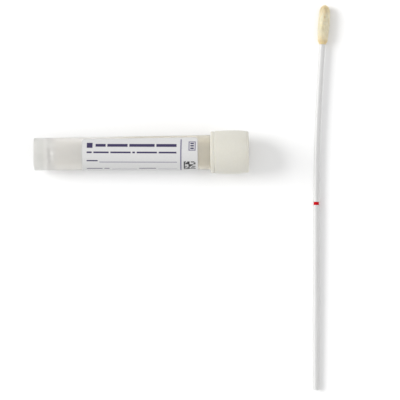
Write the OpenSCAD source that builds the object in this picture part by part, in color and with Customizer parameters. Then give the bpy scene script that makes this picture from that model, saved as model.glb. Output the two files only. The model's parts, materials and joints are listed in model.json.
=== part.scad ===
// Specimen swab tube: a screw-cap transport tube with its flocked swab, laid side by side on a table.
// Lengths are in millimetres and angles in degrees. The table is the plane z = 0.
// The tube lies along +X with its cap at the +X end, and the swab lies beside the cap, along +Y.

/* [Tube] */
// Height of the tube from the skirt's rim to its mouth
tube_h = 83.9; // [70:0.1:110]
// Outer diameter of the skirt at its rim
base_d = 13; // [11:0.1:16]
// Outer diameter of the wall at the shoulder below the cap
shoulder_d = 13.8; // [12:0.1:17]
// Wall of the skirt and of the tube above it
tube_wall = 1.1; // [0.8:0.05:1.4]
// Height of the neck that the cap screws on
neck_h = 12.6; // [9:0.1:14]
// Step from the shoulder in to the root of the neck's thread
neck_step = 0.45; // [0.3:0.05:0.6]
// Height of the cone's blunt tip above the skirt's rim
cone_lift = 2.4; // [1:0.1:4]
// Depth of the conical bottom, inside the tube
cone_h = 4.4; // [3:0.1:7]
// Radius of the blunt end inside the cone
cone_tip_r = 1.2; // [0.8:0.1:2]

/* [Screw cap] */
// Length of the cap
cap_len = 15.2; // [13:0.1:20]
// Thickness of the cap's top
cap_top_t = 1.3; // [0.8:0.1:2]
// Thickness of the cap's skirt at its rim band
cap_wall = 1; // [0.7:0.05:1.4]
// Height of the plain band round the cap's rim
rim_band_h = 1.5; // [1:0.1:3]
// How far the barrel starts outside the rim band
barrel_step = 0.15; // [0.05:0.05:0.4]
// How far the barrel swells from its lower edge to its widest place
barrel_swell = 0.2; // [0:0.05:0.5]
// How far the barrel draws in from its widest place to its top edge
barrel_draw = 0.5; // [0.1:0.05:1]
// Height of the barrel's widest place above the cap's rim
belly_h = 9; // [7:0.1:10]
// Rounding of the cap's top edge
cap_round = 0.6; // [0.3:0.1:1]
// Length of the plug that reaches down into the tube's mouth
plug_len = 5.2; // [3:0.1:6]
// Depth of the funnel that guides the broken shaft to the middle
funnel_h = 3.1; // [2:0.1:3.5]
// Radial height of the thread that the neck and the cap share
thread_h = 0.65; // [0.4:0.05:0.8]

/* [Sealing ring] */
// Thickness of the ring between the tube's mouth and the cap's top
seal_t = 0.8; // [0.5:0.1:1.2]

/* [Label] */
// Distance from the skirt's rim to the label
label_start = 19.4; // [14:0.1:30]
// Bare length of tube between the label and the cap's rim
label_gap = 5.1; // [1:0.1:20]
// Thickness of the label
label_t = 0.1; // [0.06:0.01:0.2]
// Angle of the tube that the label covers
label_wrap = 285; // [180:1:350]
// Angle from the top of the lying tube to the label's upper edge
label_edge = 60; // [30:1:90]

/* [Transport medium] */
// Greatest depth of the medium, over the tube's low side beside the cone
medium_depth = 3; // [1.5:0.1:4]

/* [Swab] */
// Length of the whole swab
swab_len = 155; // [120:0.5:180]
// Distance from the flocked end to the break point
break_from_tip = 80; // [60:0.5:100]
// Diameter of the handle
handle_d = 2.7; // [2.2:0.1:3.5]
// Diameter of the shaft between the break point and the flocked tip
shaft_d = 2.5; // [1.8:0.1:3.2]
// Width of the break groove
groove_w = 1.2; // [0.6:0.1:2]
// Depth of the break groove below the shaft's surface
groove_depth = 0.2; // [0.1:0.05:0.6]
// Radius of the bow that the shaft has taken on between its break point and its tip
bow_r = 880; // [400:10:3000]
// Length of the flocked tip
tip_len = 16.1; // [13:0.1:25]
// Greatest diameter of the flocked tip, halfway along it
tip_d = 4.9; // [3.8:0.1:6]
// How much the tip's radius draws in from its middle towards each end
tip_draw = 0.6; // [0:0.05:0.8]
// Length of the tip's rounded lower end
tip_taper = 1.9; // [1:0.1:6]
// Length of the tip's rounded upper end
tip_dome = 2.6; // [1.5:0.1:6]

/* [Layout] */
// Gap along X between the cap's top and the middle of the handle's end
swab_gap = 26.1; // [24:0.1:60]
// Distance along Y from the middle of the swab's length to the tube's axis
tube_y = 18.5; // [-40:0.1:40]
// Angle that the handle leans towards +X from +Y
swab_lean = 0.7; // [0:0.1:5]

/* [Fits] */
// Radial room between the cap's thread crests and the neck, and between its bore and the neck's crests
thread_clearance = 0.25; // [0.15:0.05:0.4]
// Radial room between the plug and the tube's bore
plug_clearance = 0.2; // [0.1:0.05:0.4]
// Radial room round the sealing ring
seal_clearance = 0.12; // [0.05:0.01:0.3]
// Radial room between the funnel's bore and the shaft that it catches
grip_clearance = 0.1; // [0.05:0.01:0.2]
// Layer of glue under the label, and of room between the medium and the tube
film = 0.01; // [0.005:0.005:0.03]

/* [Hidden] */
$fn = 96;

// Small edges
edge = 0.3;
mouth_edge = 0.15;
arc_steps = 6;

// Tube, in its own frame: the axis is Z and the skirt's rim is z = 0
base_r = base_d / 2;
shoulder_r = shoulder_d / 2;
shoulder_z = tube_h - neck_h;
neck_r = shoulder_r - neck_step;
bore_low_r = base_r - tube_wall;
bore_top_r = shoulder_r - tube_wall;
cone_slope = atan2(cone_h, bore_low_r - cone_tip_r);
floor_t = tube_wall / cos(cone_slope);
cone_low_z = cone_lift + tube_wall;
cone_top_z = cone_low_z + cone_h;
under_tip_r = cone_tip_r + tube_wall / 2;
under_top_z = cone_top_z - floor_t;

// Radius of the tube's wall and of its bore at a height, both drawn in by the mould's draft
function wall_r(z) = base_r + (shoulder_r - base_r) * z / shoulder_z;
function bore_r(z) = bore_low_r + (bore_top_r - bore_low_r) * (z - cone_top_z) / (tube_h - cone_top_z);

// Cap, in its own frame: the axis is Z and the rim is z = 0
cap_z = tube_h + seal_t + cap_top_t - cap_len;
cap_bore_r = neck_r + thread_h + thread_clearance;
cap_rim_r = cap_bore_r + cap_wall;
barrel_r = cap_rim_r + barrel_step;
belly_r = barrel_r + barrel_swell;
cap_top_r = belly_r - barrel_draw;
barrel_start = rim_band_h + edge;
barrel_end = cap_len - cap_round;
ceiling_z = cap_len - cap_top_t;
plug_z = ceiling_z - plug_len;
plug_r = bore_r(cap_z + plug_z) - plug_clearance;
plug_edge = 0.3;
plug_rim = 0.6;
funnel_r = plug_r - plug_rim;
grip_r = shaft_d / 2 + grip_clearance;

// Ring round the plug's root
seal_in_r = plug_r + seal_clearance;
seal_out_r = cap_bore_r - seal_clearance;

// Barrel of the cap: a parabola up to its widest place and a steeper one from there to the top edge
function barrel(z) = belly_r - (z < belly_h
    ? barrel_swell * pow((belly_h - z) / (belly_h - barrel_start), 2)
    : barrel_draw * pow((z - belly_h) / (barrel_end - belly_h), 2));

// Outside of the cap from its rim to its top, as [radius, height]
cap_outline = concat(
    [[cap_rim_r - edge, 0], [cap_rim_r, edge], [cap_rim_r, rim_band_h]],
    [for (i = [0:arc_steps]) let (z = barrel_start + (belly_h - barrel_start) * i / arc_steps) [barrel(z), z]],
    [for (i = [1:arc_steps]) let (z = belly_h + (barrel_end - belly_h) * i / arc_steps) [barrel(z), z]],
    [for (i = [1:arc_steps]) let (a = 90 * i / arc_steps)
        [cap_top_r - cap_round * (1 - cos(a)), barrel_end + cap_round * sin(a)]]
);

// The tube lies on its skirt's rounded rim and on the cap's barrel, so the line that touches both tilts it
rim_c = base_r - edge;
function touch_angle(p) = let (a = p[1] + cap_z - edge, b = p[0] - rim_c)
    atan2(b, a) - asin(edge / sqrt(a * a + b * b));
tilt = max([for (p = cap_outline) touch_angle(p)]);
axis_z = edge + rim_c * cos(tilt) - edge * sin(tilt);

// Level of the medium above the table
medium_z = axis_z + cone_top_z * sin(tilt) - bore_low_r * cos(tilt) + medium_depth;
medium_end = cap_z + plug_z - film;

// Swab, in its own frame: the handle runs along +Y from the origin and the shaft bows towards +X
handle_r = handle_d / 2;
shaft_r = shaft_d / 2;
groove_r = shaft_r - groove_depth;
tip_r = tip_d / 2;
handle_edge = 0.2;
tip_foot = 0.1;
handle_len = swab_len - break_from_tip - groove_w / 2;
bow_start = handle_len + groove_w;
bow_len = swab_len - tip_len - bow_start;
bow_deg = bow_len / bow_r * 180 / PI;
bow_end = [bow_r * (1 - cos(bow_deg)), bow_start + bow_r * sin(bow_deg)];
core_r = shaft_r - film;
core_len = tip_len - tip_d / 2;
joint_len = 0.2;
function tip_at(z) = [bow_end[0] + z * sin(bow_deg), bow_end[1] + z * cos(bow_deg)];
tip_end = tip_at(tip_len);
// The tip's outline as [radius, distance from its foot]: a rounded foot, a full middle and a round end
function bud_r(z) = tip_r - tip_draw * pow(2 * z / tip_len - 1, 2);
foot_r = shaft_r + tip_foot;
belly_len = tip_len - tip_taper - tip_dome;
tip_outline = concat(
    [for (i = [0:arc_steps]) let (z = tip_taper * i / arc_steps)
        [foot_r + (bud_r(z) - foot_r) * sin(90 * i / arc_steps), z]],
    [for (i = [1:arc_steps - 1]) let (z = tip_taper + belly_len * i / arc_steps) [bud_r(z), z]],
    [for (i = [0:arc_steps]) let (a = 90 * i / arc_steps, z = tip_len - tip_dome * (1 - sin(a)))
        [bud_r(z) * cos(a), z]]
);
// The swab lies on its handle and on its tip, so the point of the outline that touches first tilts it
swab_tilt = max([for (p = tip_outline) asin((p[0] - handle_r) / tip_at(p[1])[1])]);

// The set is centred on the origin: along X from the skirt's rim to the tip's side, along Y on the swab
tube_run = (cap_z + cap_len) * cos(tilt);
tip_x = max([for (p = tip_outline) let (axis_at = tip_at(p[1]))
    axis_at[0] * cos(swab_lean) + axis_at[1] * sin(swab_lean) + p[0] * cos(bow_deg + swab_lean)]);
set_w = tube_run + swab_gap + tip_x;
tube_x = -set_w / 2;
swab_x = tube_x + tube_run + swab_gap;
swab_y = -(tip_end[1] * cos(swab_lean) - tip_end[0] * sin(swab_lean)) / 2;

// Lays what is drawn in the tube's frame on its side, with -X of that frame upwards
module lay_tube() {
    translate([tube_x, tube_y, axis_z])
        rotate([0, 90 - tilt, 0])
        children();
}

module lay_swab() {
    translate([swab_x, swab_y, handle_r])
        rotate([0, 0, -swab_lean])
        rotate([swab_tilt, 0, 0])
        children();
}

// A cylinder along +Y between two distances
module rod(y0, y1, r0, r1) {
    translate([0, y0, 0])
        rotate([-90, 0, 0])
        cylinder(h = y1 - y0, r1 = r0, r2 = r1);
}

// One moulding: an open skirt to stand on, a conical bottom inside it, a drafted wall and the cap's neck
module tube_body() {
    rim_arc = [for (i = [0:arc_steps]) let (a = -90 + 90 * i / arc_steps)
        [rim_c + edge * cos(a), edge + edge * sin(a)]];
    outside = [
        [shoulder_r, shoulder_z - edge], [shoulder_r - edge, shoulder_z], [neck_r, shoulder_z],
        [neck_r, tube_h - mouth_edge], [neck_r - mouth_edge, tube_h]
    ];
    inside = [
        [bore_top_r + mouth_edge, tube_h], [bore_top_r, tube_h - mouth_edge],
        [bore_low_r, cone_top_z], [cone_tip_r, cone_low_z], [0, cone_low_z]
    ];
    underside = [[0, cone_lift], [under_tip_r, cone_lift], [bore_low_r, under_top_z], [bore_low_r, 0]];
    color("#dcdbd5")
        lay_tube()
        rotate_extrude()
        polygon(concat(rim_arc, outside, inside, underside));
}

// One moulding: a barrel skirt, a flat top, and a plug whose funnel catches the broken shaft
module screw_cap() {
    color("#dad8ce")
        lay_tube()
        translate([0, 0, cap_z])
        difference() {
            rotate_extrude()
                polygon(concat([[0, 0]], cap_outline, [[0, cap_len]]));
            cap_hollow();
        }
}

// Room inside the cap: the neck's bore round the plug, then the funnel and its grip up the middle
module cap_hollow() {
    rotate_extrude()
        polygon([
            [0, -1], [cap_bore_r, -1], [cap_bore_r, ceiling_z], [plug_r, ceiling_z],
            [plug_r, plug_z + plug_edge], [plug_r - plug_edge, plug_z], [funnel_r, plug_z],
            [grip_r, plug_z + funnel_h], [grip_r, ceiling_z], [0, ceiling_z]
        ]);
}

// Soft flat ring round the root of the cap's plug, pressed on the tube's mouth
module cap_seal() {
    color("#f2f1ec")
        lay_tube()
        translate([0, 0, tube_h])
        difference() {
            cylinder(h = seal_t, r = seal_out_r);
            translate([0, 0, -1])
                cylinder(h = seal_t + 2, r = seal_in_r);
        }
}

// Paper label glued round the drafted wall, with a window left open along one side
module label() {
    z1 = cap_z - label_gap;
    color("#e0e0de")
        lay_tube()
        rotate([0, 0, 180 - label_edge])
        rotate_extrude(angle = label_wrap)
        polygon([
            [wall_r(label_start) + film, label_start], [wall_r(label_start) + film + label_t, label_start],
            [wall_r(z1) + film + label_t, z1], [wall_r(z1) + film, z1]
        ]);
}

// Clear liquid that lies along the low side of the bore, level with the table
module transport_medium() {
    color("#e6e8e4", 0.5)
        intersection() {
            lay_tube()
                rotate_extrude()
                polygon([
                    [0, cone_low_z + film], [cone_tip_r - film, cone_low_z + film],
                    [bore_low_r - film, cone_top_z], [bore_r(medium_end) - film, medium_end], [0, medium_end]
                ]);
            translate([tube_x, tube_y - base_d, 0])
                cube([tube_h, 2 * base_d, medium_z]);
        }
}

// One moulding: the handle, the break groove, the bowed shaft and the core inside the tip
module swab_shaft() {
    color("#ececea")
        lay_swab()
        union() {
            rod(0, handle_edge, handle_r - handle_edge, handle_r);
            rod(handle_edge, handle_len, handle_r, handle_r);
            rod(handle_len - joint_len, bow_start + joint_len, groove_r, groove_r);
            translate([bow_r, bow_start, 0])
                rotate([0, 0, 180 - bow_deg])
                rotate_extrude(angle = bow_deg)
                translate([bow_r, 0])
                circle(r = shaft_r);
            at_bow_end()
                rod(-joint_len, core_len, core_r, core_r);
        }
}

// Flocked bud round the shaft's end
module swab_tip() {
    core = [[0, core_len + film], [core_r + film, core_len + film], [core_r + film, 0]];
    color("#e4d6b0")
        lay_swab()
        at_bow_end()
        rotate([-90, 0, 0])
        rotate_extrude()
        polygon(concat(tip_outline, core));
}

module at_bow_end() {
    translate([bow_end[0], bow_end[1], 0])
        rotate([0, 0, -bow_deg])
        children();
}

tube_body();
screw_cap();
cap_seal();
label();
transport_medium();
swab_shaft();
swab_tip();
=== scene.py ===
"""Specimen swab tube: a capped transport tube and its flocked swab, side by side on a pale table."""

import json
import math

import bpy
import numpy as np
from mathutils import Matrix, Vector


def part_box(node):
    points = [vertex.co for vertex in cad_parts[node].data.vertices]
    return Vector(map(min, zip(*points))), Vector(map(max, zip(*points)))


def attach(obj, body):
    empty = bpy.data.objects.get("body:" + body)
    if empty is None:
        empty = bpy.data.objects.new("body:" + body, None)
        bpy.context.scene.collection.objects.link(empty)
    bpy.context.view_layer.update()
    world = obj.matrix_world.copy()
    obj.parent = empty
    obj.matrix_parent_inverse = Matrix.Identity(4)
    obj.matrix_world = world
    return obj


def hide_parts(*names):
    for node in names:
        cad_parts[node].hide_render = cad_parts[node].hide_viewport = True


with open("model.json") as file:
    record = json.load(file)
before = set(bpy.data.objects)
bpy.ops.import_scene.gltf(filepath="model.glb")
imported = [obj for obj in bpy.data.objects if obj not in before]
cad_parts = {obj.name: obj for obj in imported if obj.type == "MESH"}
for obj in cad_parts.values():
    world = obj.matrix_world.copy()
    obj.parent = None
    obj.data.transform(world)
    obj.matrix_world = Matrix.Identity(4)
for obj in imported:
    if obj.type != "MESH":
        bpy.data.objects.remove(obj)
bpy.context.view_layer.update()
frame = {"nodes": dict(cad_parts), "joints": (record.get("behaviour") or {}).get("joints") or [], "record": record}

# ---------------------------------------------------------------------------------------------
# Tube: one injection moulding in natural polypropylene, milky and see-through. An open skirt lets
# it stand, a cone closes it inside the skirt, and a two-start thread is moulded on its neck.
# ---------------------------------------------------------------------------------------------
MM = 0.001
cad_nodes = frame["nodes"]
joints = {joint["name"]: joint for joint in frame["joints"]}
tube_axis = np.array(joints["cap_turn"]["axis"])
tube_up = np.array([-tube_axis[2], 0.0, tube_axis[0]])
tube_side = np.array([0.0, 1.0, 0.0])
cap_rim_centre = np.array(joints["cap_turn"]["pos_m"])


def measured(piece, origin, axis):
    """Where a piece's vertices are along an axis and how far from it. The length is the dot product
    of the axis with the step from the origin, and the distance is the size of the rest of that step."""
    steps = np.array([vertex.co for vertex in piece.data.vertices]) - origin
    along = steps @ axis
    return along, np.linalg.norm(steps - along[:, None] * axis, axis=1)


body_along = measured(cad_nodes["tube_body"], cap_rim_centre, tube_axis)[0]
rim_centre = cap_rim_centre + tube_axis * body_along.min()
CAP_RIM_Z = float((cap_rim_centre - rim_centre) @ tube_axis)
MOUTH_Z = measured(cad_nodes["tube_body"], rim_centre, tube_axis)[0].max()


def on_tube(radius, angle, along):
    """Points round the tube's axis: along it from the skirt's rim, then out by the radius, in the
    direction that starts at the tube's top and turns by the angle towards +Y."""
    radius, angle, along = np.broadcast_arrays(radius, angle, along)
    out = np.cos(angle)[..., None] * tube_up + np.sin(angle)[..., None] * tube_side
    return rim_centre + along[..., None] * tube_axis + radius[..., None] * out


HOLD = 0.06 * MM
HOLD_SHARE = 0.3


def rounded(corners, steps=6):
    """Profile through corners given as (radius, height, rounding). A corner's arc starts
    rounding * tan(half the turn) before it and ends as far after it, about a centre on the line that
    halves the corner. A point a little before and after each arc keeps the sides straight in the
    shading."""
    corners = np.array(corners, float)
    places, rounding = corners[:, :2], corners[:, 2]
    sides = np.diff(places, axis=0)
    lengths = np.linalg.norm(sides, axis=1)
    ways = sides / lengths[:, None]
    turns = np.arccos(np.clip((ways[:-1] * ways[1:]).sum(1), -1, 1))
    cuts = np.concatenate([[0], rounding[1:-1] * np.tan(turns / 2), [0]])
    holds = np.minimum(HOLD, HOLD_SHARE * (lengths - cuts[:-1] - cuts[1:]))
    share = np.linspace(0, 1, steps)[:, None]
    line = [places[:1]]
    for k, turn in enumerate(turns, 1):
        start, end = places[k] - ways[k - 1] * cuts[k], places[k] + ways[k] * cuts[k]
        inwards = ways[k] - ways[k - 1]
        centre = places[k] + inwards / np.linalg.norm(inwards) * rounding[k] / math.cos(turn / 2)
        arc = np.sin((1 - share) * turn) * (start - centre) + np.sin(share * turn) * (end - centre)
        before, after = start - ways[k - 1] * holds[k - 1], end + ways[k] * holds[k]
        line += [[before], centre + arc / math.sin(turn), [after]]
    return np.concatenate([*line, places[-1:]])


def evenly(radius, start, end, count):
    """Straight stretch of a profile: one radius, at evenly spaced heights from start to end."""
    return np.column_stack([np.full(count, radius), np.linspace(start, end, count)])


SHARP_FROM = math.radians(50)


def built(name, points, quads):
    """Mesh piece from points and four-cornered faces, one of whose corners may repeat. The faces are
    turned round if what they enclose, a sixth of the sum of corner . (corner x corner), comes out
    below nothing."""
    a, b, c, d = (points[quads] - points.mean(0)).transpose(1, 0, 2)
    if (np.einsum("ij,ij", a, np.cross(b, c)) + np.einsum("ij,ij", a, np.cross(c, d))) < 0:
        quads = quads[:, ::-1]
    mesh = bpy.data.meshes.new(name)
    mesh.from_pydata(points.tolist(), [], [list(dict.fromkeys(quad)) for quad in quads.tolist()])
    mesh.shade_smooth()
    mesh.set_sharp_from_angle(angle=SHARP_FROM)
    piece = bpy.data.objects.new(name, mesh)
    bpy.context.scene.collection.objects.link(piece)
    return piece


def skin(name, grid, loop=False):
    """Closed piece through a grid of points. Each point is joined to its neighbours, a row closes on
    itself, and the rows do so too if loop is set. If it isn't, the first and last rows are one point
    each."""
    rows, columns = grid.shape[:2]
    index = np.arange(rows * columns).reshape(rows, columns)
    if loop:
        index = np.vstack([index, index[:1]])
    else:
        index[0], index[-1] = index[0, 0], index[-1, 0]
    low, high = index[:-1], index[1:]
    quads = np.stack([low, np.roll(low, -1, 1), np.roll(high, -1, 1), high], axis=-1).reshape(-1, 4)
    used, quads = np.unique(quads, return_inverse=True)
    return built(name, grid.reshape(-1, 3)[used], quads.reshape(-1, 4))


def finished(piece, body, slot, material, *nodes):
    """Gives a piece its material and the CAD body it rides on, and hides the plain CAD nodes that it
    stands for. The slot is not used."""
    piece.data.materials.append(material)
    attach(piece, body)
    if nodes:
        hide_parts(*nodes)


def stock(name, colour, roughness, **same_all_over):
    """A material with one shader. What is the same all over is set on the shader's own sockets."""
    material = bpy.data.materials.new(name)
    material.use_nodes = True
    shader = material.node_tree.nodes["Principled BSDF"]
    shader.inputs["Base Color"].default_value = (*colour, 1.0)
    shader.inputs["Roughness"].default_value = roughness
    for socket, value in same_all_over.items():
        shader.inputs[socket.replace("_", " ")].default_value = value
    return material, material.node_tree, shader


def mottle(tree, scale, detail=3.0, stretch=(1, 1, 1)):
    """Noise on Object coordinates, in cells of about 1 / scale metres, stretched along the axes."""
    place = tree.nodes.new("ShaderNodeTexCoord")
    fit = tree.nodes.new("ShaderNodeMapping")
    fit.inputs["Scale"].default_value = stretch
    noise = tree.nodes.new("ShaderNodeTexNoise")
    noise.inputs["Scale"].default_value = scale
    noise.inputs["Detail"].default_value = detail
    tree.links.new(place.outputs["Object"], fit.inputs["Vector"])
    tree.links.new(fit.outputs["Vector"], noise.inputs["Vector"])
    return noise.outputs["Fac"]


def between(tree, value, low, high, first=0.3, last=0.7):
    """Takes a value from the range first to last, where most of the noise lies, to the range low to
    high, in proportion."""
    fit = tree.nodes.new("ShaderNodeMapRange")
    for socket, number in (("From Min", first), ("From Max", last), ("To Min", low), ("To Max", high)):
        fit.inputs[socket].default_value = number
    tree.links.new(value, fit.inputs["Value"])
    return fit.outputs["Result"]


def tinted(tree, share, first, second):
    """Mixes two colours by a share from 0 to 1."""
    mix = tree.nodes.new("ShaderNodeMix")
    mix.data_type = "RGBA"
    mix.inputs[6].default_value = (*first, 1.0)
    mix.inputs[7].default_value = (*second, 1.0)
    tree.links.new(share, mix.inputs[0])
    return mix.outputs[2]


def ramped(tree, value, *stops):
    """Takes a value from 0 to 1 through colours, each given with the place where it is reached."""
    ramp = tree.nodes.new("ShaderNodeValToRGB")
    ramp.color_ramp.interpolation = "EASE"
    marks = ramp.color_ramp.elements
    for place, colour in stops:
        mark = marks.new(place) if 0 < place < 1 else marks[-int(place)]
        mark.color = (*colour, 1.0)
    tree.links.new(value, ramp.inputs["Fac"])
    return ramp.outputs["Color"]


THREAD_LEAD = 5.0 * MM
THREAD_STARTS = 2
THREAD_H = 0.62 * MM
THREAD_CREST = 0.26 * MM
THREAD_FOOT = 0.62 * MM
THREAD_FADE = 0.08
THREAD_ROWS = 150


def thread(angle, along, first, turns):
    """Height of a right-hand thread over its root. Each start's ridge climbs by the lead in one turn,
    against the angle. It is flat for the crest's half width and eases to nothing at the foot's, by
    three times the square less twice the cube of the share of the flank that is left. It fades in
    and out over a small part of a turn at its ends."""
    height = np.zeros(np.broadcast(angle, along).shape)
    for start in range(THREAD_STARTS):
        for whole in range(math.ceil(turns) + 1):
            turned = (-angle / (2 * math.pi) + start / THREAD_STARTS) % 1.0 + whole
            off = np.abs(along - first - THREAD_LEAD * turned)
            flank = np.clip((THREAD_FOOT - off) / (THREAD_FOOT - THREAD_CREST), 0, 1)
            ends = np.clip(turned / THREAD_FADE, 0, 1) * np.clip((turns - turned) / THREAD_FADE, 0, 1)
            height = np.maximum(height, flank * flank * (3 - 2 * flank) * ends)
    return height * THREAD_H


BASE_R = 6.5 * MM
SHOULDER_R = 6.9 * MM
NECK_R = 6.45 * MM
NECK_Z = 71.3 * MM
BORE_R = 5.8 * MM
BORE_LOW_R = 5.4 * MM
BORE_LOW_Z = 7.9 * MM
CONE_TIP_R = 1.2 * MM
CONE_TIP_Z = 3.5 * MM
UNDER_Z = 2.4 * MM
UNDER_TIP_R = 1.75 * MM
UNDER_TOP_Z = 6.34 * MM
GATE_R = 0.55 * MM
GATE_Z = UNDER_Z - 0.15 * MM
GATE_EDGE = 0.08 * MM
NECK_THREAD_Z = 74.0 * MM
NECK_THREAD_TURNS = 1.25

tube_low = rounded([
    (0, GATE_Z, 0),
    (GATE_R, GATE_Z, GATE_EDGE),
    (GATE_R + 0.1 * MM, UNDER_Z, GATE_EDGE),
    (UNDER_TIP_R, UNDER_Z, 0.9 * MM),
    (BORE_LOW_R, UNDER_TOP_Z, 0.5 * MM),
    (BORE_LOW_R, 0, 0.25 * MM),
    (BASE_R, 0, 0.3 * MM),
    (SHOULDER_R, NECK_Z, 0.25 * MM),
    (NECK_R, NECK_Z, 0.15 * MM),
    (NECK_R, NECK_Z + 0.8 * MM, 0),
])
tube_neck = evenly(NECK_R, NECK_Z + 0.9 * MM, MOUTH_Z - 0.6 * MM, THREAD_ROWS)
tube_high = rounded([
    (NECK_R, MOUTH_Z - 0.5 * MM, 0),
    (NECK_R, MOUTH_Z, 0.2 * MM),
    (BORE_R, MOUTH_Z, 0.2 * MM),
    (BORE_LOW_R, BORE_LOW_Z, 1.2 * MM),
    (CONE_TIP_R, CONE_TIP_Z, 0.8 * MM),
    (0, CONE_TIP_Z, 0),
])
tube_profile = np.vstack([tube_low, tube_neck, tube_high])
tube_ridged = np.repeat([0.0, 1.0, 0.0], [len(tube_low), len(tube_neck), len(tube_high)])[:, None]
tube_along = tube_profile[:, 1, None]
full_turn = np.linspace(0, 2 * math.pi, 180, endpoint=False)[None, :]
tube_ridge = tube_ridged * thread(full_turn, tube_along, NECK_THREAD_Z, NECK_THREAD_TURNS)
tube_shell = skin("tube_shell", on_tube(tube_profile[:, 0, None] + tube_ridge, full_turn, tube_along))

# The plastic's tint goes by the place along the tube: greyish at the skirt, nearly clear above the
# cone, and a darker tan towards the neck, which is painted shade where the label and the cap keep
# light out of the tube. Faint flow lines run lengthwise through it.
TINT_START_X = -60 * MM
TINT_END_X = 10 * MM
SKIRT_TINT = (0.85, 0.845, 0.82)
SKIRT_TOP_TINT = (0.855, 0.85, 0.825)
CONE_TINT = (0.985, 0.975, 0.95)
WALL_TINT = (0.99, 0.97, 0.93)
# Painted shade: the neck's darker tan stands for the shade where the label and the cap keep light out
NECK_PAINTED_SHADE = (0.91, 0.86, 0.74)
FLOW_TINT = (0.985, 0.985, 0.985)
UNTINTED = (1.0, 1.0, 1.0)

natural_plastic, tree, shader = stock(
    "natural_plastic", (0.96, 0.95, 0.92), 0.29, IOR=1.49, Transmission_Weight=0.65,
)
flow = mottle(tree, 260, 2.0, (0.25, 1, 1))
lengthwise = tree.nodes.new("ShaderNodeSeparateXYZ")
tree.links.new(tree.nodes["Texture Coordinate"].outputs["Object"], lengthwise.inputs["Vector"])
# The ramp carries the plastic's tint along the tube, with painted shade in the tan towards the neck
tint_and_painted_shade = ramped(
    tree, between(tree, lengthwise.outputs["X"], 0, 1, first=TINT_START_X, last=TINT_END_X),
    (0.0, SKIRT_TINT), (0.05, SKIRT_TOP_TINT), (0.075, CONE_TINT), (0.16, WALL_TINT),
    (0.38, WALL_TINT), (0.6, NECK_PAINTED_SHADE), (1.0, NECK_PAINTED_SHADE),
)
streaked = tree.nodes.new("ShaderNodeVectorMath")
streaked.operation = "MULTIPLY"
tree.links.new(tint_and_painted_shade, streaked.inputs[0])
tree.links.new(tinted(tree, between(tree, flow, 0, 1), FLOW_TINT, UNTINTED), streaked.inputs[1])
tree.links.new(streaked.outputs["Vector"], shader.inputs["Base Color"])

# The faces inside were formed on a polished core and are glossy, and the outside is satin
OUTSIDE_ROUGHNESS = (0.278, 0.295)
INSIDE_ROUGHNESS = 0.05
INSIDE_R = 6.1 * MM
is_inside = measured(tube_shell, rim_centre, tube_axis)[1] < INSIDE_R
polish = tube_shell.data.attributes.new("polish", "FLOAT", "POINT")
polish.data.foreach_set("value", is_inside.astype(float))
polished = tree.nodes.new("ShaderNodeAttribute")
polished.attribute_name = "polish"
satin = tree.nodes.new("ShaderNodeMix")
satin.inputs[3].default_value = INSIDE_ROUGHNESS
tree.links.new(polished.outputs["Fac"], satin.inputs[0])
tree.links.new(between(tree, flow, *OUTSIDE_ROUGHNESS), satin.inputs[2])
tree.links.new(satin.outputs[0], shader.inputs["Roughness"])
finished(tube_shell, "tube", "tube_plastic", natural_plastic, "tube_body")

# ---------------------------------------------------------------------------------------------
# Transport medium: about a millilitre of clear liquid, which lies level along the low side of the
# bore and in the cone. The cap's plug holds it back at the mouth.
# ---------------------------------------------------------------------------------------------
medium_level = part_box("transport_medium")[1].z
medium_end = measured(cad_nodes["transport_medium"], rim_centre, tube_axis)[0].max()
CONE_WET_Z = 4.7 * MM
FILM = 0.01 * MM

in_cone = np.linspace(CONE_WET_Z, BORE_LOW_Z, 14)
in_bore = np.linspace(BORE_LOW_Z, medium_end, 90)[1:]
wet = np.concatenate([in_cone, in_bore])
bore = np.interp(wet, [CONE_TIP_Z, BORE_LOW_Z, MOUTH_Z], [CONE_TIP_R, BORE_LOW_R, BORE_R]) - FILM
shore_cosine = (medium_level - rim_centre[2] - wet * tube_axis[2]) / (bore * tube_up[2])
shore = np.arccos(np.clip(shore_cosine, -1, 1))[:, None]
bed = on_tube(bore[:, None], shore + (2 * math.pi - 2 * shore) * np.linspace(0, 1, 41), wet[:, None])
way_over = np.linspace(0, 1, 22)[1:-1, None]
surface = bed[:, -1:] + (bed[:, :1] - bed[:, -1:]) * way_over
section = np.concatenate([bed, surface], axis=1)
middles = np.repeat(section[[0, -1]].mean(1)[:, None], section.shape[1], axis=1)
medium_pool = skin("medium_pool", np.concatenate([middles[:1], section, middles[1:]]))


def grained(tree, shader, grain, first, second, roughness=None, relief=None):
    """Carries a grain over a surface: from one colour to another, from one roughness to another if
    two are given, and as bumps of a height in metres if one is given."""
    tree.links.new(tinted(tree, between(tree, grain, 0, 1), first, second), shader.inputs["Base Color"])
    if roughness:
        tree.links.new(between(tree, grain, *roughness), shader.inputs["Roughness"])
    if relief:
        bump = tree.nodes.new("ShaderNodeBump")
        bump.inputs["Strength"].default_value = 1.0
        bump.inputs["Distance"].default_value = relief
        tree.links.new(grain, bump.inputs["Height"])
        tree.links.new(bump.outputs["Normal"], shader.inputs["Normal"])


clear_medium, tree, shader = stock(
    "clear_medium", (0.98, 0.98, 0.96), 0.02, IOR=1.34, Transmission_Weight=1.0,
)
grained(tree, shader, mottle(tree, 400, 2.0), (0.965, 0.965, 0.94), (0.99, 0.99, 0.975))
finished(medium_pool, "tube", "medium", clear_medium, "transport_medium")

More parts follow.
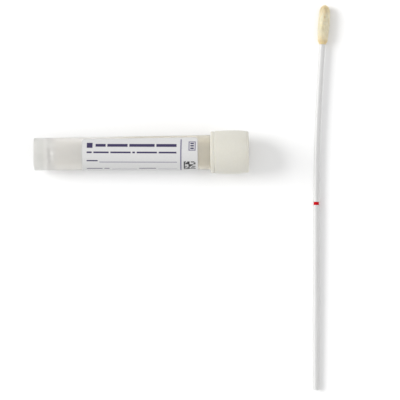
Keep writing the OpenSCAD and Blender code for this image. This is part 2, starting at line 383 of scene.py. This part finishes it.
# ---------------------------------------------------------------------------------------------
# Sealing ring: a flat ring of soft silicone, pushed over the root of the cap's plug. The cap
# presses it on the tube's mouth. Its cut edges are slightly rounded.
# ---------------------------------------------------------------------------------------------
seal_along, seal_radii = measured(cad_nodes["cap_seal"], rim_centre, tube_axis)
SEAL_IN_R, SEAL_OUT_R = seal_radii.min(), seal_radii.max()
SEAL_LOW_Z, SEAL_HIGH_Z = seal_along.min(), seal_along.max()
SEAL_EDGE = 0.12 * MM

ring = rounded([
    (SEAL_IN_R, SEAL_LOW_Z + 0.4 * MM, 0),
    (SEAL_IN_R, SEAL_LOW_Z, SEAL_EDGE),
    (SEAL_OUT_R, SEAL_LOW_Z, SEAL_EDGE),
    (SEAL_OUT_R, SEAL_HIGH_Z, SEAL_EDGE),
    (SEAL_IN_R, SEAL_HIGH_Z, SEAL_EDGE),
    (SEAL_IN_R, SEAL_LOW_Z + 0.5 * MM, 0),
])
seal_ring = skin("seal_ring", on_tube(ring[:, 0, None], full_turn, ring[:, 1, None]), loop=True)

soft_silicone, tree, shader = stock("soft_silicone", (0.80, 0.79, 0.76), 0.55)
grained(
    tree, shader, mottle(tree, 3000), (0.78, 0.77, 0.73), (0.83, 0.82, 0.79),
    roughness=(0.48, 0.66), relief=0.004 * MM,
)
finished(seal_ring, "seal", "seal_rubber", soft_silicone, "cap_seal")

# ---------------------------------------------------------------------------------------------
# Screw cap: one moulding in warm white polypropylene. Its barrel swells a little above a plain rim
# band. Inside, a thread grips the neck, and a plug with a funnel catches the swab's broken shaft.
# ---------------------------------------------------------------------------------------------
CAP_LEN = measured(cad_nodes["screw_cap"], cap_rim_centre, tube_axis)[0].max()
CAP_BORE_R = 7.35 * MM
RIM_R = 8.35 * MM
BAND_H = 1.5 * MM
BARREL_R = 8.5 * MM
BELLY_R = 8.7 * MM
BELLY_H = 9.0 * MM
CAP_TOP_R = 8.2 * MM
DISH_R = 6.4 * MM
DISH_DEPTH = 0.12 * MM
DISH_EDGE = 0.25 * MM
CAP_GATE_R = 0.65 * MM
CEILING_H = 13.9 * MM
PLUG_R = 5.577 * MM
PLUG_H = 8.7 * MM
FUNNEL_R = PLUG_R - 0.6 * MM
GRIP_R = 1.35 * MM
GRIP_H = 11.8 * MM
CAP_THREAD_Z = NECK_THREAD_Z - THREAD_LEAD / 4
CAP_THREAD_TURNS = 1.15

plug = rounded([
    (0, CEILING_H, 0),
    (GRIP_R, CEILING_H, 0.2 * MM),
    (GRIP_R, GRIP_H, 0.3 * MM),
    (FUNNEL_R, PLUG_H, 0.15 * MM),
    (PLUG_R - 0.2 * MM, PLUG_H, 0.1 * MM),
    (PLUG_R, PLUG_H + 0.5 * MM, 0.2 * MM),
    (PLUG_R, CEILING_H, 0.15 * MM),
    (CAP_BORE_R, CEILING_H, 0.3 * MM),
    (CAP_BORE_R, CEILING_H - 0.6 * MM, 0),
])
cap_bore = evenly(CAP_BORE_R, CEILING_H - 0.7 * MM, 0.5 * MM, THREAD_ROWS)
band = rounded([
    (CAP_BORE_R, 0.4 * MM, 0),
    (CAP_BORE_R + 0.12 * MM, 0, 0.1 * MM),
    (RIM_R, 0, 0.3 * MM),
    (RIM_R, BAND_H - 0.05 * MM, 0.1 * MM),
    (RIM_R - 0.14 * MM, BAND_H + 0.1 * MM, 0.06 * MM),
    (BARREL_R, BAND_H + 0.25 * MM, 0.12 * MM),
    (BARREL_R, BAND_H + 0.5 * MM, 0),
])

# The barrel follows one parabola up to its widest place, the belly, and another from there
lift = np.linspace(BAND_H + 0.6 * MM, CAP_LEN - 0.7 * MM, 60)
below = np.clip((BELLY_H - lift) / (BELLY_H - BAND_H), 0, 1) ** 2
above = np.clip((lift - BELLY_H) / (CAP_LEN - BELLY_H), 0, 1) ** 2
barrel = np.column_stack([BELLY_R + (BARREL_R - BELLY_R) * below + (CAP_TOP_R - BELLY_R) * above, lift])
cap_top = rounded([
    (CAP_TOP_R + 0.04 * MM, CAP_LEN - 0.65 * MM, 0),
    (CAP_TOP_R, CAP_LEN, 0.55 * MM),
    (DISH_R, CAP_LEN, DISH_EDGE),
    (DISH_R - 0.3 * MM, CAP_LEN - DISH_DEPTH, DISH_EDGE),
    (CAP_GATE_R + 0.1 * MM, CAP_LEN - DISH_DEPTH, GATE_EDGE),
    (CAP_GATE_R, CAP_LEN, GATE_EDGE),
    (0, CAP_LEN, 0),
])
cap_stretches = (plug, cap_bore, band, barrel, cap_top)
cap_profile = np.vstack(cap_stretches)
cap_ridged = np.repeat([0.0, 1.0, 0.0, 0.0, 0.0], [len(stretch) for stretch in cap_stretches])[:, None]
cap_along = CAP_RIM_Z + cap_profile[:, 1, None]
cap_ridge = cap_ridged * thread(full_turn, cap_along, CAP_THREAD_Z, CAP_THREAD_TURNS)
cap_shell = skin("cap_shell", on_tube(cap_profile[:, 0, None] - cap_ridge, full_turn, cap_along))

warm_white_plastic, tree, shader = stock(
    "warm_white_plastic", (0.595, 0.58, 0.52), 0.46,
    Subsurface_Weight=0.4, Subsurface_Radius=(1.0, 0.9, 0.7), Subsurface_Scale=1.8 * MM,
)
grained(
    tree, shader, mottle(tree, 1400, 2.0), (0.585, 0.57, 0.51), (0.605, 0.59, 0.53),
    roughness=(0.42, 0.50), relief=0.003 * MM,
)
finished(cap_shell, "cap", "cap_plastic", warm_white_plastic, "screw_cap")

# ---------------------------------------------------------------------------------------------
# Label: coated white paper with rounded corners, glued round most of the tube. A window is left
# along the far side, so that the inside can be seen. It takes up the tube's draft.
# ---------------------------------------------------------------------------------------------
label_along = measured(cad_nodes["label"], rim_centre, tube_axis)[0]
LABEL_LOW_Z, LABEL_HIGH_Z = label_along.min(), label_along.max()
LABEL_T = 0.1 * MM
LABEL_EDGE = math.radians(60)
LABEL_WRAP = math.radians(285)
LABEL_CORNER = 1.5 * MM


def wall_at(along):
    """Radius of the tube's outside, which widens evenly from the skirt to the shoulder."""
    return BASE_R + (SHOULDER_R - BASE_R) * along / NECK_Z


def slabs(name, outer, inner):
    """Thin closed pieces in one mesh, each between an outer and an inner grid of points: the two
    grids' faces, and a strip of faces round their edge. The arrays hold one pair of grids for each
    slab."""
    count, rows, columns = outer.shape[:3]
    index = np.arange(rows * columns).reshape(rows, columns)
    corners = [index[:-1, :-1], index[1:, :-1], index[1:, 1:], index[:-1, 1:]]
    face = np.stack(corners, axis=-1).reshape(-1, 4)
    edge = np.concatenate([index[:-1, 0], index[-1, :-1], index[:0:-1, -1], index[0, :0:-1]])
    ahead = np.roll(edge, -1)
    strip = np.stack([ahead, edge, edge + index.size, ahead + index.size], axis=-1)
    slab = np.concatenate([face, face[:, ::-1] + index.size, strip])
    quads = slab[None] + 2 * index.size * np.arange(count)[:, None, None]
    return built(name, np.stack([outer, inner], axis=1).reshape(-1, 3), quads.reshape(-1, 4))


corner_steps = LABEL_CORNER * (1 - np.cos(np.linspace(0, math.pi / 2, 12)))
straight = np.linspace(LABEL_LOW_Z + LABEL_CORNER, LABEL_HIGH_Z - LABEL_CORNER, 60)[1:-1]
stations = np.concatenate([LABEL_LOW_Z + corner_steps, straight, LABEL_HIGH_Z - corner_steps[::-1]])
from_end = np.minimum(stations - LABEL_LOW_Z, LABEL_HIGH_Z - stations)
into_corner = np.clip(LABEL_CORNER - from_end, 0, None)
drawn_in = LABEL_CORNER - np.sqrt(np.clip(LABEL_CORNER**2 - into_corner**2, 0, None))
under_label = (wall_at(stations) + FILM)[:, None]
trim = drawn_in[:, None] / under_label
wrap = LABEL_EDGE - trim - (LABEL_WRAP - 2 * trim) * np.linspace(0, 1, 160)
paper_label = slabs(
    "paper_label",
    on_tube(under_label + LABEL_T, wrap, stations[:, None])[None],
    on_tube(under_label, wrap, stations[:, None])[None],
)

label_stock, tree, shader = stock("label_stock", (0.56, 0.56, 0.555), 0.45)
grained(
    tree, shader, mottle(tree, 2600, 5.0, (0.5, 1, 1)), (0.55, 0.55, 0.55), (0.58, 0.58, 0.575),
    roughness=(0.40, 0.55), relief=0.006 * MM,
)
finished(paper_label, "tube", "label_paper", label_stock, "label")

# ---------------------------------------------------------------------------------------------
# Label print: plain blocks in dark ink stand where words go, with writing lines, a divider and a
# frame in paler ink. It sits a little askew. Places are millimetres along the label and down it.
# ---------------------------------------------------------------------------------------------
INK_LIFT = 0.025 * MM
ASKEW = math.radians(1.2)
LONGEST_FACE = 6 * MM
WIDEST_FACE = 0.3 * MM
WORD_GAP = 0.7


def printed(name, boxes, ink):
    """Lays flat blocks on the label. Each is (start, end, top, bottom) in millimetres. Its places are
    turned by the angle askew about the label's upper low corner, and then about the tube's axis by
    the way down over the radius."""
    start, end, top, bottom = np.array(boxes, float).T[:, :, None, None] * MM
    rows = 2 + int((end - start).max() / LONGEST_FACE)
    columns = 3 + int((bottom - top).max() / WIDEST_FACE)
    length = start + (end - start) * np.linspace(0, 1, rows)[None, :, None]
    down = top + (bottom - top) * np.linspace(0, 1, columns)[None, None, :]
    along = LABEL_LOW_Z + length * math.cos(ASKEW) - down * math.sin(ASKEW)
    paper = wall_at(along) + FILM + LABEL_T
    turn = LABEL_EDGE - (down * math.cos(ASKEW) + length * math.sin(ASKEW)) / paper
    piece = slabs(name, on_tube(paper + INK_LIFT, turn, along), on_tube(paper - INK_LIFT, turn, along))
    finished(piece, "tube", "label_paper", ink)


def word_bars(start, end, top, height, *shares):
    """Solid bars with even gaps, which fill a line from its start to its end. Their lengths go by
    the shares."""
    lengths = np.array(shares) / sum(shares) * (end - start - WORD_GAP * (len(shares) - 1))
    starts = start + np.concatenate([[0], np.cumsum(lengths + WORD_GAP)[:-1]])
    return [(place, place + length, top, top + height) for place, length in zip(starts, lengths)]


def code_block(start, top, size, count):
    """A square of small squares inside a solid corner: square (i, j) is inked where
    i * i + 3 * j + i * j leaves less than three over after dividing by seven."""
    cell = size / count
    i, j = (part.ravel() for part in np.meshgrid(np.arange(count), np.arange(count)))
    inked = ((i * i + 3 * j + i * j) % 7 < 3) | (i == 0) | (j == count - 1)
    left, high = start + i[inked] * cell, top + j[inked] * cell
    return list(zip(left, left + cell, high, high + cell))


def framed(start, end, top, bottom, line):
    """Four bars round a rectangle."""
    return [
        (start, end, top, top + line), (start, end, bottom - line, bottom),
        (start, start + line, top, bottom), (end - line, end, top, bottom),
    ]


dark_blocks = [
    (2.1, 4.4, 2.4, 4.7),
    *word_bars(5.6, 38.0, 2.95, 1.25, 4, 8, 10, 8),
    *word_bars(2.1, 38.0, 6.2, 0.65, 2, 6, 8, 1, 8, 7),
    *word_bars(2.1, 6.5, 9.7, 0.5, 1),
    *word_bars(2.1, 11.2, 14.0, 0.45, 3, 1),
    *word_bars(23.0, 29.8, 14.0, 0.45, 1),
    *word_bars(2.1, 9.0, 18.0, 0.45, 1),
    *word_bars(23.0, 28.0, 18.0, 0.45, 1),
    *((43.5, 44.9, top, top + 0.6) for top in (2.35, 3.4, 4.45)),
]
pale_bars = [
    (7.2, 38.2, 10.42, 10.7), (12.2, 22.2, 14.75, 14.95), (30.6, 38.2, 14.75, 14.95),
    (9.8, 22.2, 18.75, 18.95), (28.8, 38.2, 18.75, 18.95), (39.5, 40.0, 0.5, 20.0),
    *framed(42.8, 45.6, 1.7, 5.7, 0.36),
]
for name, boxes, dark, light in (
    ("label_print", dark_blocks, (0.018, 0.011, 0.060), (0.032, 0.022, 0.085)),
    ("label_code", code_block(40.9, 10.2, 4.7, 10), (0.018, 0.016, 0.020), (0.032, 0.030, 0.034)),
    ("label_lines", pale_bars, (0.13, 0.12, 0.20), (0.17, 0.155, 0.24)),
):
    ink, tree, shader = stock(name + "_ink", dark, 0.5)
    grained(tree, shader, mottle(tree, 4000), dark, light)
    printed(name, boxes, ink)

# ---------------------------------------------------------------------------------------------
# Swab shaft: one white polystyrene moulding, with a thicker handle and a thinner shaft that has
# taken on a slight bow. A groove between them is where it is snapped off, and is painted red.
# ---------------------------------------------------------------------------------------------
handle = next(mount for mount in frame["record"]["mounts"] if mount["name"] == "swab_handle")
handle_hold = np.array(handle["pos_m"])
shaft_way = -np.array(handle["axis"])
shaft_side = np.array([shaft_way[1], -shaft_way[0], 0.0])
shaft_side /= np.linalg.norm(shaft_side)
shaft_up = np.cross(shaft_side, shaft_way)
handle_end = handle_hold + shaft_way * measured(cad_nodes["swab_shaft"], handle_hold, shaft_way)[0].min()
HANDLE_R = 1.35 * MM
SHAFT_R = 1.25 * MM
GROOVE_R = 1.05 * MM
GROOVE_FLANK = 0.12 * MM
GROOVE_EDGE = 0.08 * MM
END_EDGE = 0.2 * MM
HANDLE_LEN = 74.4 * MM
BOW_START = 75.6 * MM
BOW_R = 880.0 * MM
BOW_LEN = 63.3 * MM
TIP_START = BOW_START + BOW_LEN
CORE_R = 1.24 * MM
CORE_END = TIP_START + 13.65 * MM


def on_swab(radius, angle, along):
    """Points round the swab's centreline. It is straight to the groove, then an arc towards
    shaft_side, and goes on straight in the tip. The angle starts at the top and turns towards
    shaft_side."""
    radius, angle, along = np.broadcast_arrays(radius, angle, along)
    bent = np.clip(along - BOW_START, 0, BOW_LEN) / BOW_R
    beyond = np.clip(along - TIP_START, 0, None)
    ahead = np.minimum(along, BOW_START) + BOW_R * np.sin(bent) + beyond * np.cos(bent)
    aside = BOW_R * (1 - np.cos(bent)) + beyond * np.sin(bent)
    across = radius * np.sin(angle)
    ahead, aside = ahead - across * np.sin(bent), aside + across * np.cos(bent)
    level = handle_end + ahead[..., None] * shaft_way + aside[..., None] * shaft_side
    return level + (radius * np.cos(angle))[..., None] * shaft_up


shaft_turn = np.linspace(0, 2 * math.pi, 64, endpoint=False)[None, :]
groove = rounded([
    (HANDLE_R, HANDLE_LEN - 1 * MM, 0),
    (HANDLE_R, HANDLE_LEN, GROOVE_EDGE),
    (GROOVE_R, HANDLE_LEN + GROOVE_FLANK, 0.12 * MM),
    (GROOVE_R, BOW_START - GROOVE_FLANK, 0.12 * MM),
    (SHAFT_R, BOW_START, GROOVE_EDGE),
    (SHAFT_R, BOW_START + 1 * MM, 0),
])
stem_profile = np.vstack([
    rounded([(0, 0, 0), (HANDLE_R, 0, END_EDGE), (HANDLE_R, 1 * MM, 0)]),
    evenly(HANDLE_R, 2 * MM, HANDLE_LEN - 2 * MM, 36),
    groove,
    evenly(SHAFT_R, BOW_START + 2 * MM, TIP_START, 40),
    rounded([(CORE_R, TIP_START + 0.1 * MM, 0), (CORE_R, CORE_END, END_EDGE), (0, CORE_END, 0)]),
])
swab_stem = skin("swab_stem", on_swab(stem_profile[:, 0, None], shaft_turn, stem_profile[:, 1, None]))

white_plastic, tree, shader = stock(
    "white_plastic", (0.57, 0.57, 0.565), 0.35,
    Subsurface_Weight=0.7, Subsurface_Radius=(1.0, 1.0, 1.0), Subsurface_Scale=1 * MM,
)
grained(
    tree, shader, mottle(tree, 900, 3.0, (1, 0.08, 1)), (0.555, 0.555, 0.55), (0.59, 0.59, 0.585),
    roughness=(0.3, 0.42), relief=0.006 * MM,
)
finished(swab_stem, "tube", "shaft_plastic", white_plastic, "swab_shaft")

# The paint is a thin sleeve over the groove, from edge to edge, sunk as deep as it stands proud
PAINT_T = 0.02 * MM
PAINT_LAP = 0.02 * MM
coated = (groove[:, 1] > HANDLE_LEN - PAINT_LAP) & (groove[:, 1] < BOW_START + PAINT_LAP)
coat = groove[coated]
sleeve = np.vstack([coat + [PAINT_T, 0], (coat - [PAINT_T, 0])[::-1]])
break_mark = skin("break_mark", on_swab(sleeve[:, 0, None], shaft_turn, sleeve[:, 1, None]), loop=True)

red_paint, tree, shader = stock("red_paint", (0.45, 0.0, 0.005), 0.6, Specular_IOR_Level=0.1)
grained(tree, shader, mottle(tree, 1500), (0.40, 0.0, 0.003), (0.50, 0.0, 0.007))
finished(break_mark, "tube", "shaft_plastic", red_paint)

# ---------------------------------------------------------------------------------------------
# Swab tip: short nylon fibres shot upright into a coat of adhesive on the shaft's end. The bud is
# cream, and golden towards its foot and its end.
# ---------------------------------------------------------------------------------------------
rng = np.random.default_rng(7)
TIP_R = 2.45 * MM
TIP_DRAW = 0.6 * MM
FOOT_R = 1.35 * MM
TIP_LEN = 16.1 * MM
TAPER_LEN = 1.9 * MM
DOME_LEN = 2.6 * MM
PILE = 0.42 * MM
CREAM = (0.94, 0.88, 0.695)
GOLD = (0.82, 0.655, 0.32)


def bud(rise):
    """Radius of the bud over its foot. It draws in from its middle by the square of the way to its
    ends, swells from its foot by a quarter of a sine, and ends in an ellipse."""
    full = TIP_R - TIP_DRAW * (2 * rise / TIP_LEN - 1) ** 2
    swell = FOOT_R + (full - FOOT_R) * np.sin(np.clip(rise / TAPER_LEN, 0, 1) * math.pi / 2)
    domed = np.clip((rise - TIP_LEN + DOME_LEN) / DOME_LEN, 0, 1)
    return swell * np.sqrt(1 - domed**2)


# The core is the bud drawn in by most of the pile's depth, with low lumps that spiral round it
CORE_INSET = 0.75 * PILE
CORE_END_INSET = 0.7 * PILE
LUMP_H = 0.05 * MM
LUMPS_ROUND = 5
LUMP_SPIRAL = 1.1 * MM
LUMP_SWELL = 0.8 * MM
foot = np.linspace(0, 1, 90)[:-1] * (TIP_LEN - DOME_LEN)
dome = TIP_LEN - DOME_LEN + DOME_LEN * np.sin(np.linspace(0, math.pi / 2, 30))
rises = np.concatenate([foot, dome])[:, None]
core_turn = np.linspace(0, 2 * math.pi, 96, endpoint=False)[None, :]
lumps = LUMP_H * np.sin(LUMPS_ROUND * core_turn + rises / LUMP_SPIRAL) * np.sin(rises / LUMP_SWELL)
core_radius = bud(rises) * (1 - CORE_INSET / TIP_R) + lumps * (bud(rises) / TIP_R)
core_along = TIP_START + rises * (TIP_LEN - CORE_END_INSET) / TIP_LEN
core_grid = on_swab(core_radius, core_turn, core_along)
under_foot = np.repeat(core_grid[0].mean(0)[None, None], core_turn.size, axis=1)
flock_core = skin("flock_core", np.concatenate([under_foot, core_grid]))


def golden_ends(tree):
    """Share of gold along the bud: full at its foot, nearly so at its end, and nothing in
    between."""
    place = tree.nodes.new("ShaderNodeUVMap")
    place.uv_map = "OFBake"
    parts = tree.nodes.new("ShaderNodeSeparateXYZ")
    tree.links.new(place.outputs["UV"], parts.inputs["Vector"])
    shades = ((0.0, 1.0), (0.07, 0.8), (0.15, 0.25), (0.3, 0.0), (0.72, 0.0), (0.86, 0.4), (1.0, 0.9))
    return ramped(tree, parts.outputs["X"], *((stop, (shade,) * 3) for stop, shade in shades))


def bud_map(piece, lengthwise, around):
    """UV map of the bud: across it is the length from the foot, up it the way round or the height in
    the pile."""
    uv = piece.data.uv_layers.new(name="OFBake")
    corner_vertex = np.zeros(len(piece.data.loops), np.int32)
    piece.data.loops.foreach_get("vertex_index", corner_vertex)
    uv.data.foreach_set("uv", np.stack([lengthwise, around], axis=-1)[corner_vertex].ravel())


MAP_SHARE = 0.98
tip_foot = on_swab(0.0, 0.0, TIP_START)
tip_way = on_swab(0.0, 0.0, TIP_START + TIP_LEN) - tip_foot
tip_way /= np.linalg.norm(tip_way)
core_points = np.array([vertex.co for vertex in flock_core.data.vertices]) - tip_foot
core_angle = np.arctan2(core_points @ np.cross(tip_way, shaft_up), core_points @ shaft_up)
core_share = np.clip(core_points @ tip_way / TIP_LEN, 0, 1)
bud_map(flock_core, core_share, MAP_SHARE * np.abs(core_angle) / math.pi)

# Each fibre is a three-sided spike. Places along the bud are drawn evenly and kept by its thickness
# there, so that the fibres are equally dense all over.
FIBRES = 22000
FIBRE_W = 0.075 * MM
SHORTEST = 0.85
SPLAY = 0.12
tries = rng.uniform(0, 1, (FIBRES * 3, 2))
kept = tries[:, 1] * TIP_R < bud(tries[:, 0] * TIP_LEN)
apex_rise = tries[kept, 0][:FIBRES] * TIP_LEN
fibre_count = len(apex_rise)
root_angle = rng.uniform(0, 2 * math.pi, fibre_count)

# It stands square to the bud's outline, whose lean is the outline's slope at the spike's apex
NUDGE = 0.05 * MM
LEAST_LEAN, MOST_LEAN = -1, 4
ROOT_LEAST_R = 0.05 * MM
radius_ahead = bud(np.clip(apex_rise + NUDGE, 0, TIP_LEN))
radius_behind = bud(np.clip(apex_rise - NUDGE, 0, TIP_LEN))
lean = np.clip((radius_behind - radius_ahead) / (2 * NUDGE), LEAST_LEAN, MOST_LEAN)
stand = PILE * rng.uniform(SHORTEST, 1.0, fibre_count) / np.sqrt(1 + lean**2)
apex_radius = bud(apex_rise)
root_radius = np.clip(apex_radius - stand, ROOT_LEAST_R, None)
root_along = TIP_START + apex_rise - stand * lean

# Its apex is splayed a little, round the bud and along it, and its root is a small triangle. Close
# to the bud's axis a least radius keeps their angles small.
TWIST_LEAST_R = 0.4 * MM
SPREAD_LEAST_R = 0.2 * MM
twist = rng.normal(0, SPLAY, fibre_count) * PILE / np.clip(apex_radius, TWIST_LEAST_R, None)
slant = rng.normal(0, SPLAY, fibre_count) * PILE
apex_along = np.clip(TIP_START + apex_rise + slant, TIP_START, TIP_START + TIP_LEN)
apexes = on_swab(apex_radius, root_angle + twist, apex_along)
spin = rng.uniform(0, 2 * math.pi, fibre_count)[:, None] + np.array([0, 2, 4]) * math.pi / 3
root_aside = FIBRE_W / 2 * np.cos(spin) / np.clip(root_radius, SPREAD_LEAST_R, None)[:, None]
root_ahead = FIBRE_W / 2 * np.sin(spin)
roots = on_swab(root_radius[:, None], root_angle[:, None] + root_aside, root_along[:, None] + root_ahead)
fibre_points = np.concatenate([roots, apexes[:, None]], axis=1).reshape(-1, 3)
spike = np.array([[0, 2, 1, 1], [0, 1, 3, 3], [1, 2, 3, 3], [2, 0, 3, 3]])
spikes = spike[None] + 4 * np.arange(fibre_count)[:, None, None]
flock_pile = built("flock_pile", fibre_points, spikes.reshape(-1, 4))

# On the map a fibre is a narrow spike too, from a small triangle at its root up to its apex
MAP_W = 0.008
MAP_ROOT, MAP_ROOT_H = 0.15, 0.1
MAP_APEX = 0.95
map_across = np.column_stack([MAP_W * np.cos(spin), np.zeros(fibre_count)]) + (apex_rise / TIP_LEN)[:, None]
map_up = np.column_stack([MAP_ROOT + MAP_ROOT_H * np.sin(spin), np.full(fibre_count, MAP_APEX)])
bud_map(flock_pile, map_across.ravel(), map_up.ravel())

for name, piece, nodes, shade in (
    ("flock_base", flock_core, ["swab_tip"], 0.8),
    ("flock_nylon", flock_pile, [], 1.0),
):
    cream, gold = tuple(shade * part for part in CREAM), tuple(shade * part for part in GOLD)
    nylon, tree, shader = stock(
        name, cream, 0.6,
        Subsurface_Weight=0.6, Subsurface_Radius=(1.0, 0.8, 0.5), Subsurface_Scale=0.4 * MM,
    )
    tree.links.new(tinted(tree, golden_ends(tree), cream, gold), shader.inputs["Base Color"])
    finished(piece, "tube", "tip_flock", nylon, *nodes)

# ---------------------------------------------------------------------------------------------
# Table, light and camera: a plain white table under a pale sky, and a long lens that looks straight
# down. A broad soft light comes from the left and a little from behind, and a weak low one from the
# right and a little from the front.
# ---------------------------------------------------------------------------------------------
TABLE_HALF = 30.0
table_corners = np.array([(-1, -1, 0), (1, -1, 0), (1, 1, 0), (-1, 1, 0)]) * TABLE_HALF
table_mesh = bpy.data.meshes.new("table_top")
table_mesh.from_pydata(table_corners.tolist(), [], [(0, 1, 2, 3)])
table_top = bpy.data.objects.new("table_top", table_mesh)
bpy.context.scene.collection.objects.link(table_top)
table_white, tree, shader = stock("table_white", (0.90, 0.90, 0.90), 0.9)
table_mesh.materials.append(table_white)

for name, energy, spread, back, aside in (
    ("key_light", 2.3, 35, -11, -55),
    ("fill_light", 0.62, 40, 16, 73),
):
    light_data = bpy.data.lights.new(name, "SUN")
    light_data.energy = energy
    light_data.angle = math.radians(spread)
    light = bpy.data.objects.new(name, light_data)
    light.rotation_euler = (math.radians(back), math.radians(aside), 0)
    bpy.context.scene.collection.objects.link(light)

# The sky lights the pieces a little less than it shows behind them
SKY_LIGHT = 0.78
SKY_SEEN = 1.05
world = bpy.data.worlds.new("pale_sky")
world.use_nodes = True
sky = world.node_tree
background = sky.nodes["Background"]
background.inputs["Color"].default_value = (1.0, 1.0, 1.0, 1.0)
seen = sky.nodes.new("ShaderNodeLightPath").outputs["Is Camera Ray"]
strength = between(sky, seen, SKY_LIGHT, SKY_SEEN, first=0, last=1)
sky.links.new(strength, background.inputs["Strength"])
bpy.context.scene.world = world
bpy.context.scene.view_settings.view_transform = "Standard"

CAMERA_PLACE = (6.56 * MM, -0.56 * MM, 1.6)
CAMERA_TURN = -0.0107
LENS = 357.6
camera_data = bpy.data.cameras.new("camera")
camera_data.lens = LENS
camera_data.sensor_width = 36.0
camera_data.clip_start, camera_data.clip_end = 0.1, 100.0
camera = bpy.data.objects.new("camera", camera_data)
camera.location = CAMERA_PLACE
camera.rotation_euler = (0.0, 0.0, CAMERA_TURN)
bpy.context.scene.collection.objects.link(camera)
bpy.context.scene.camera = camera
